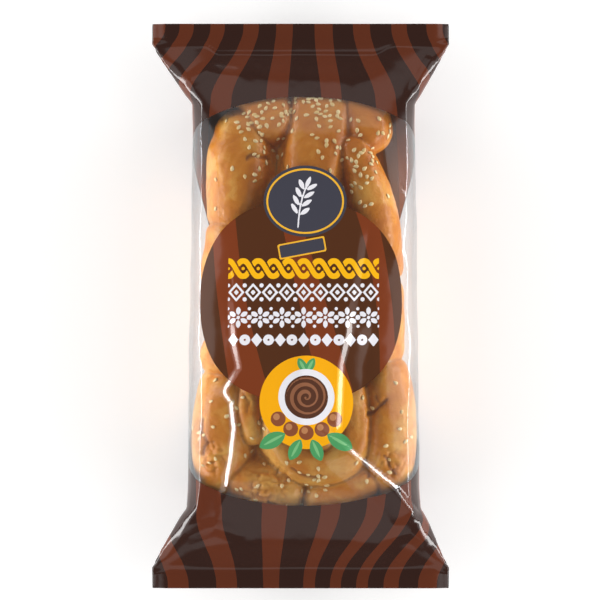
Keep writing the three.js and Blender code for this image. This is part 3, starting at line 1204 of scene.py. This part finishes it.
def shaped_loaf(shape):
    """The loaf's vertices, faces, normals, how much painted shade each vertex gets in seams and cracks, and
    how browned it is.
    """
    vertices, faces, edges = remeshed([strand_sweep(strand) for strand in (*STRANDS, CORE)], LOAF_CELL)
    vertices = smoothed(vertices, edges, LOAF_ROUNDS)
    gaps = np.sort(np.stack([outside_strand(vertices, strand) for strand in STRANDS]), axis=0)
    between = gaps[1] - gaps[0]
    normals = quad_normals(vertices, faces)
    facing_up = smooth(*UP_FACING, normals[:, 2])
    sunk, crack_shade = cracks(vertices, facing_up)
    groove, half_width = GROOVE
    sunk += groove * bell(between, half_width)
    swell, length = CRUST_SWELL
    raised = swell * fractal(vertices, length, 3, seed=5) - sunk
    wrinkled = wrinkles(vertices) * facing_up
    vertices = kept_under_film(vertices + normals * raised[:, None], shape) - normals * wrinkled[:, None]
    # Painted shade along the bottom of each seam between two strands.
    shade, half_width = SEAM_SHADE
    seam = shade * (1 - smooth(*SEAM_LEVELS, gaps[0])) * bell(between, half_width)
    return vertices, faces, quad_normals(vertices, faces), np.maximum(seam, crack_shade), browning(vertices)


# Where seeds gather: plan place, reach, and share of all seeds.
SEED_PATCHES = (
    ((-17.0, 100.0), 9.0, 0.17),
    ((11.0, 101.0), 10.0, 0.15),
    ((14.0, 80.0), 11.0, 0.05),
    ((38.0, 92.0), 10.0, 0.04),
    ((42.0, 80.0), 4.5, 0.07),
    ((31.0, 70.0), 7.0, 0.06),
    ((-30.0, 72.0), 20.0, 0.07),
    ((-18.0, 78.0), 6.0, 0.03),
    ((7.0, -94.0), 6.0, 0.05),
    ((46.0, -66.0), 18.0, 0.04),
    ((-43.0, -60.0), 15.0, 0.04),
    ((-20.0, -92.0), 14.0, 0.04),
    ((32.0, -84.0), 10.0, 0.01),
    ((-24.0, -66.0), 6.0, 0.02),
)
LOOSE_SEEDS = 0.15  # the share that lies anywhere on the loaf
SEED_SPACING = 2.5  # the least distance between two seeds, summed over the three axes
SEED_FACING = (0.15, 0.6)  # how upright the crust's normal is where seeds begin to stay on, and where all do
SEED_LEVELS = (30.0, 38.0)  # the same for how high it is
SEED_CHOICES = 3  # places tried for each seed
SEED_LENGTHS = (0.86, 1.1)  # the shortest and longest, for the usual length
SEED_LEAN = 0.12  # how far its upright wanders off the crust's
SEED_LIFT = 0.28  # from the crust to the middle of a seed
SEED_SHAPE = (0.66, 0.30)  # a seed's width and thickness for its length
SEED_SKEW = 0.78  # under 1, it is widest nearer its blunt end
SEED_FULLNESS = 0.75  # under 1, its sides are rounder
SEED_RINGS = 7
SEED_SIDES = 8
SCATTER_SEED = 12


def seed_places(vertices, normals, count, random):
    """Vertices that each carry a seed, gathered as on the real loaf and never two on one spot."""
    weight = np.full(len(vertices), LOOSE_SEEDS / len(vertices))
    for place, reach, share in SEED_PATCHES:
        near = bell(np.hypot(*(vertices[:, :2] - place).T), reach)
        weight += share * near / near.sum()
    weight *= smooth(*SEED_FACING, normals[:, 2]) * smooth(*SEED_LEVELS, vertices[:, 2])
    order = random.choice(len(vertices), size=count * SEED_CHOICES, replace=False, p=weight / weight.sum())
    chosen = []
    for index in order:
        here = vertices[index]
        if all(np.abs(here - vertices[other]).sum() > SEED_SPACING for other in chosen):
            chosen.append(index)
        if len(chosen) == count:
            break
    return np.array(chosen)


def seed_form():
    """One flat teardrop of length 1 that lies along x: its vertices and faces."""
    t = np.linspace(0, 1, SEED_RINGS + 2)[1:-1]
    girth = np.sin(math.pi * t**SEED_SKEW) ** SEED_FULLNESS
    angle = np.linspace(0, 2 * math.pi, SEED_SIDES, endpoint=False)
    width, thickness = SEED_SHAPE
    x = np.repeat(t - 0.5, SEED_SIDES)
    y = np.outer(girth, np.cos(angle)).reshape(-1) * width / 2
    z = np.outer(girth, np.sin(angle)).reshape(-1) * thickness / 2
    rings = np.stack((x, y, z), axis=1)
    vertices = np.concatenate((rings, [(-0.5, 0, 0), (0.5, 0, 0)]))
    faces = []
    for ring in range(SEED_RINGS - 1):
        for side in range(SEED_SIDES):
            a = ring * SEED_SIDES + side
            b = ring * SEED_SIDES + (side + 1) % SEED_SIDES
            faces.append((a, b, b + SEED_SIDES))
            faces.append((a, b + SEED_SIDES, a + SEED_SIDES))
    last = (SEED_RINGS - 1) * SEED_SIDES
    for side in range(SEED_SIDES):
        following = (side + 1) % SEED_SIDES
        faces.append((len(rings), following, side))
        faces.append((len(rings) + 1, last + side, last + following))
    return vertices, np.array(faces)


def scattered_seeds(vertices, normals, settings):
    """Vertices and faces of all the seeds, each pressed flat on the crust with its own turn and size."""
    random = np.random.default_rng(SCATTER_SEED)
    chosen = seed_places(vertices, normals, settings.seed_count, random)
    form, form_faces = seed_form()
    length = settings.seed_length / MM * random.uniform(*SEED_LENGTHS, len(chosen))
    turn = random.uniform(0, 2 * math.pi, len(chosen))
    up = normals[chosen] + random.normal(0, SEED_LEAN, (len(chosen), 3))
    up /= np.linalg.norm(up, axis=1, keepdims=True)
    flat = np.stack((np.cos(turn), np.sin(turn), np.zeros(len(chosen))), axis=1)
    along = flat - up * (flat * up).sum(axis=1, keepdims=True)
    along /= np.linalg.norm(along, axis=1, keepdims=True)
    frames = np.stack((along, np.cross(up, along), up), axis=1)
    seeds = np.einsum("vk,skj->svj", form, frames) * length[:, None, None]
    seeds += (vertices[chosen] + up * SEED_LIFT)[:, None]
    faces = form_faces[None] + (np.arange(len(chosen)) * len(form))[:, None, None]
    return seeds.reshape(-1, 3), faces.reshape(-1, 3)


# ---------------------------------------------------------------------------------------------------
# Materials

# The Mix node's sockets for two colours and for the colour between them.
MIX_FIRST, MIX_SECOND, MIX_RESULT = 6, 7, 2


class Nodes:
    """A short way to wire a material's node tree."""

    def __init__(self, name):
        self.material = bpy.data.materials.new(name)
        self.material.use_nodes = True
        self.tree = self.material.node_tree
        self.shader = self.tree.nodes["Principled BSDF"]
        self.place = self.add("ShaderNodeTexCoord").outputs["Object"]

    def add(self, kind, links=(), **values):
        """Adds a node: values are its inputs' or its own, links are pairs of input and source."""
        node = self.tree.nodes.new(kind)
        for name, value in values.items():
            socket = name.replace("_", " ")
            if socket in node.inputs:
                node.inputs[socket].default_value = value
            else:
                setattr(node, name, value)
        for socket, source in links:
            self.tree.links.new(source, node.inputs[socket])
        return node

    def noise(self, scale, detail=2.0, distortion=0.0):
        links = [("Vector", self.place)]
        node = self.add("ShaderNodeTexNoise", links, Scale=scale, Detail=detail, Distortion=distortion)
        return node.outputs["Fac"]

    def ranged(self, source, low, high, start=0.0, end=1.0):
        """Maps start..end of the source to low..high."""
        node = self.add("ShaderNodeMapRange", [("Value", source)], From_Min=start, From_Max=end)
        node.inputs["To Min"].default_value = low
        node.inputs["To Max"].default_value = high
        return node.outputs["Result"]

    def mixed(self, share, first, second):
        """A colour between two, each a colour or another node's output."""
        node = self.add("ShaderNodeMix", data_type="RGBA")
        self.tree.links.new(share, node.inputs["Factor"])
        for number, colour in ((MIX_FIRST, first), (MIX_SECOND, second)):
            if isinstance(colour, bpy.types.NodeSocket):
                self.tree.links.new(colour, node.inputs[number])
            else:
                node.inputs[number].default_value = (*colour, 1)
        return node.outputs[MIX_RESULT]

    def bumped(self, height, distance, strength=1.0, under=None):
        links = [("Height", height)] + ([("Normal", under)] if under else [])
        return self.add("ShaderNodeBump", links, Distance=distance, Strength=strength).outputs["Normal"]

    def maths(self, operation, first, second):
        """The result of a sum or a power: the second value is a number or another node's output."""
        node = self.add("ShaderNodeMath", operation=operation)
        self.tree.links.new(first, node.inputs[0])
        if isinstance(second, bpy.types.NodeSocket):
            self.tree.links.new(second, node.inputs[1])
        else:
            node.inputs[1].default_value = second
        return node.outputs[0]

    def link(self, source, socket):
        self.tree.links.new(source, self.shader.inputs[socket])

    def set(self, socket, value):
        """Sets a number, or a colour, on the shader itself."""
        self.shader.inputs[socket].default_value = value if isinstance(value, float) else (*value, 1)


def ink_material(name, colour):
    """Glossy printed film, finely crinkled."""
    nodes = Nodes(name + "_ink")
    crinkle = nodes.noise(scale=420, detail=3)
    nodes.link(nodes.bumped(crinkle, distance=0.00004, strength=0.5), "Normal")
    nodes.link(nodes.ranged(crinkle, low=0.10, high=0.18), "Roughness")
    nodes.set("Base Color", colour)
    nodes.set("IOR", 1.55)
    return nodes.material


def clear_film_material(colour):
    """Clear film: a thin sheet that mirrors more at a glancing angle."""
    nodes = Nodes("clear_film")
    nodes.set("Base Color", colour)
    nodes.set("Metallic", 1.0)
    facing = nodes.add("ShaderNodeLayerWeight", Blend=0.5).outputs["Facing"]
    nodes.link(nodes.ranged(nodes.maths("POWER", facing, 2.0), low=0.085, high=0.9), "Alpha")
    nodes.link(nodes.ranged(nodes.noise(scale=90), low=0.08, high=0.15), "Roughness")
    return nodes.material


def crust_material(colours):
    """Soft glazed crust: browned in patches and paler between them, with painted shade deep in its seams and
    cracks.
    """
    nodes = Nodes("bread_crust")
    # The seam attribute is painted shade, from the seams between strands and from the cracks.
    seam = nodes.add("ShaderNodeAttribute", attribute_name="seam").outputs["Fac"]
    browned = nodes.add("ShaderNodeAttribute", attribute_name="browned").outputs["Fac"]
    mottle = nodes.noise(scale=95, detail=4, distortion=0.6)
    pores = nodes.noise(scale=900, detail=3)
    fibres = nodes.noise(scale=330, detail=4, distortion=1.2)
    mottled = nodes.ranged(mottle, low=-0.35, high=0.35, start=0.3, end=0.7)
    tone = nodes.maths("ADD", browned, mottled)
    baked = nodes.ranged(tone, low=0.0, high=1.0, start=0.05, end=0.55)
    dark = nodes.ranged(tone, low=0.0, high=0.85, start=0.5, end=1.1)
    spots = nodes.ranged(pores, low=0.0, high=0.35, start=0.60, end=0.72)
    # Painted shade: the crust darkens toward the seam colour in seams and cracks.
    shaded = nodes.ranged(seam, low=0.0, high=0.92, start=0.25, end=1.0)
    colour = nodes.mixed(baked, colours.crust_pale, colours.crust)
    for share, darker in ((dark, colours.crust_dark), (spots, colours.crust_dark), (shaded, colours.seam)):
        colour = nodes.mixed(share, colour, darker)
    nodes.link(colour, "Base Color")
    fine = nodes.bumped(pores, distance=0.00010, strength=0.5)
    nodes.link(nodes.bumped(fibres, distance=0.00035, strength=0.6, under=fine), "Normal")
    nodes.link(nodes.ranged(fibres, low=0.26, high=0.42, start=0.3, end=0.7), "Roughness")
    nodes.set("IOR", 1.40)
    return nodes.material


TOASTED = (0.85, 0.74, 0.55)  # the darkest seeds' colour, for the lightest ones'


def seed_material(colour):
    """Toasted sesame: each seed a little lighter or darker."""
    nodes = Nodes("sesame_seed")
    darker = [channel * share for channel, share in zip(colour, TOASTED)]
    toasted = nodes.ranged(nodes.noise(scale=260, detail=1), low=0.0, high=1.0, start=0.35, end=0.65)
    nodes.link(nodes.mixed(toasted, colour, darker), "Base Color")
    nodes.link(nodes.bumped(nodes.noise(scale=2500), distance=0.00005), "Normal")
    nodes.link(nodes.ranged(nodes.noise(scale=700, detail=1), low=0.35, high=0.5), "Roughness")
    return nodes.material


def floor_material(colour, glow):
    """A plain pale floor that also glows faintly, so that no hard shadow lies round the pack."""
    nodes = Nodes("pale_floor")
    nodes.set("Base Color", colour)
    nodes.set("Emission Color", (1, 1, 1))
    nodes.set("Emission Strength", glow)
    nodes.link(nodes.ranged(nodes.noise(scale=3), low=0.75, high=0.85), "Roughness")
    return nodes.material


# ---------------------------------------------------------------------------------------------------
# Operators


class SWEETBREAD_OT_loaf(Operator):
    """Adds the braided loaf and the sesame seeds on it"""

    bl_idname = "sweetbread.loaf"
    bl_label = "Loaf and Sesame"

    def execute(self, context):
        settings = context.scene.bread_sizes
        shape = FilmShape(context.scene.pack_sizes)
        vertices, faces, normals, seam, browned = shaped_loaf(shape)
        loaf = new_object("braided_loaf", vertices, faces, [crust_material(settings)])
        # The seam attribute carries the painted shade of seams and cracks; browned is the crust's own
        # browning.
        for name, values in (("seam", seam), ("browned", browned)):
            attribute = loaf.data.attributes.new(name, "FLOAT", "POINT")
            attribute.data.foreach_set("value", values)
        add_piece(loaf)
        seeds, seed_faces = scattered_seeds(vertices, normals, settings)
        sesame = [seed_material(settings.seed)]
        add_piece(new_object("sesame_seeds", seeds, seed_faces, sesame))
        return {"FINISHED"}


SEAM_WIDTH = 12.0
SEAM_THICKNESS = 0.3
SEAM_ROOM = 0.05  # between the seam and the film above it
SEAM_STEPS = 90
LINING_FROM = 84.0  # how far round from the middle of the front the inner layer is modelled
LINING_LENGTH = 120.0  # and how far along the pack, each way from its middle
LINING_DEPTH = 0.25  # how far it lies inside the print


class SWEETBREAD_OT_film(Operator):
    """Adds the sealed film: its printed part, its clear window and the folded seam along its back"""

    bl_idname = "sweetbread.film"
    bl_label = "Sealed Film"

    def execute(self, context):
        colours = context.scene.film_colours
        shape = FilmShape(context.scene.pack_sizes)
        skin = Skin(*shaped_film(shape))
        paint_pack(skin)
        materials = [ink_material(name, getattr(colours, name)) for name in INKS]
        points, normals, faces, ink = skin.piece(range(len(INKS)))
        printed = new_object("printed_film", points, faces, materials, ink, normals)
        add_piece(printed)
        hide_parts(NODE)
        points, normals, faces, _ = skin.piece([CLEAR])
        clear = [clear_film_material(colours.clear)]
        add_piece(new_object("clear_window", points, faces, clear, None, normals))
        add_piece(self.lining(skin, colours))
        add_piece(self.back_seam(shape, materials[0]))
        return {"FINISHED"}

    @staticmethod
    def lining(skin, colours):
        """The pale inner layer of the printed film, which shows through the window beside the loaf. Its
        colours are partly its own and partly painted light, lighter to make up for the shade inside the pack.
        """
        materials = [ink_material(name, getattr(colours, name)) for name in LINING]
        inks = (INK["dark_brown"], INK["red_brown"])
        points, normals, faces, ink = skin.piece(inks, LINING_FROM, LINING_LENGTH)
        return new_object("film_lining", points - normals * LINING_DEPTH, faces, materials, ink, normals)

    @staticmethod
    def back_seam(shape, material):
        """The flat strip where the film's two long edges are sealed together, folded under the pack."""
        y = np.linspace(-shape.seal, shape.seal, SEAM_STEPS)
        top = shape.back(np.zeros(len(y)), y) - SEAM_ROOM
        vertices, faces = [], []
        for along, height in zip(y, top):
            for x in (0, SEAM_WIDTH):
                vertices.append((x, along, height))
                vertices.append((x, along, height - SEAM_THICKNESS))
        for row in range(len(y) - 1):
            a = 4 * row
            for left, right in ((0, 2), (3, 1), (2, 3), (1, 0)):
                faces.append((a + left, a + right, a + right + 4, a + left + 4))
        last = len(vertices)
        faces.append((0, 1, 3, 2))
        faces.append((last - 4, last - 2, last - 1, last - 3))
        return new_object("back_seam", vertices, faces, [material])


FLOOR_SIZE = 3.0
FLOOR_GLOW = 0.24
CAMERA_PLACE = (-0.0003, 0.0032)  # the pack sits a little low and right in the picture
FRAMED_WIDTH = 0.3165  # what the picture takes in, at the height of the pack's shoulders
FRAMED_LEVEL = 0.040
SENSOR_WIDTH = 36.0
LIGHT_DISTANCE = 1.1

# The lights' sizes across and along the pack, and how many degrees each is from straight above it.
SIDE_LIGHT = ((0.60, 1.3), 50.0)
STRIP_LIGHT = ((0.24, 2.9), 74.0)
END_LIGHT = ((0.9, 0.42), 51.0)
ROOM_COLOUR = (1.0, 0.97, 0.94)


class SWEETBREAD_OT_stage(Operator):
    """Adds the floor, the soft lights and the camera that looks down on the pack"""

    bl_idname = "sweetbread.stage"
    bl_label = "Stage"

    def execute(self, context):
        settings = context.scene.stage_settings
        half = FLOOR_SIZE / 2 / MM
        corners = [(-half, -half, 0), (half, -half, 0), (half, half, 0), (-half, half, 0)]
        new_object("floor", corners, [(0, 1, 2, 3)], [floor_material(settings.floor, FLOOR_GLOW)])
        for side in (-1, 1):
            self.add_light("side_light", (side, 0), *SIDE_LIGHT, settings.side_light)
            self.add_light("strip_light", (side, 0), *STRIP_LIGHT, settings.strip_light)
            self.add_light("end_light", (0, side), *END_LIGHT, settings.end_light)
        world = bpy.data.worlds.new("room")
        world.use_nodes = True
        background = world.node_tree.nodes["Background"]
        background.inputs["Color"].default_value = (*ROOM_COLOUR, 1)
        background.inputs["Strength"].default_value = settings.room_light
        context.scene.world = world
        self.add_camera(context, settings)
        context.scene.view_settings.view_transform = "Standard"
        return {"FINISHED"}

    @staticmethod
    def add_light(name, towards, size, degrees, power):
        """A rectangular light that leans towards one side of the pack and faces it."""
        data = bpy.data.lights.new(name, "AREA")
        data.shape = "RECTANGLE"
        data.size, data.size_y = size
        data.energy = power
        lean = math.radians(degrees)
        x, y = towards
        light = bpy.data.objects.new(name, data)
        flat = LIGHT_DISTANCE * math.sin(lean)
        light.location = (x * flat, y * flat, LIGHT_DISTANCE * math.cos(lean))
        light.rotation_euler = (-y * lean, x * lean, 0)
        bpy.context.scene.collection.objects.link(light)

    @staticmethod
    def add_camera(context, settings):
        camera = bpy.data.objects.new("camera", bpy.data.cameras.new("camera"))
        camera.location = (*CAMERA_PLACE, settings.camera_height)
        camera.data.sensor_width = SENSOR_WIDTH
        camera.data.lens = SENSOR_WIDTH * (settings.camera_height - FRAMED_LEVEL) / FRAMED_WIDTH
        context.scene.collection.objects.link(camera)
        context.scene.camera = camera


class SWEETBREAD_PT_panel(Panel):
    """Lists the pieces, their sizes and their colours"""

    bl_idname = "SWEETBREAD_PT_panel"
    bl_label = "Sweet Bread"
    bl_space_type = "VIEW_3D"
    bl_region_type = "UI"
    bl_category = "Sweet Bread"

    def draw(self, context):
        for group, kind in GROUPS.items():
            box = self.layout.box()
            for name in kind.__annotations__:
                box.prop(getattr(context.scene, group), name)
        for operator in OPERATORS:
            self.layout.operator(operator.bl_idname)


GROUPS = {
    "pack_sizes": PackSizes,
    "film_colours": FilmColours,
    "bread_sizes": BreadSizes,
    "stage_settings": StageSettings,
}
OPERATORS = (SWEETBREAD_OT_loaf, SWEETBREAD_OT_film, SWEETBREAD_OT_stage)
CLASSES = (*GROUPS.values(), *OPERATORS, SWEETBREAD_PT_panel)


def register():
    for cls in CLASSES:
        bpy.utils.register_class(cls)
    for name, group in GROUPS.items():
        setattr(bpy.types.Scene, name, PointerProperty(type=group))


def unregister():
    for name in GROUPS:
        delattr(bpy.types.Scene, name)
    for cls in reversed(CLASSES):
        bpy.utils.unregister_class(cls)


def main():
    register()
    bpy.ops.sweetbread.loaf()
    bpy.ops.sweetbread.film()
    bpy.ops.sweetbread.stage()
    bpy.context.view_layer.update()


if __name__ == "__main__":
    main()
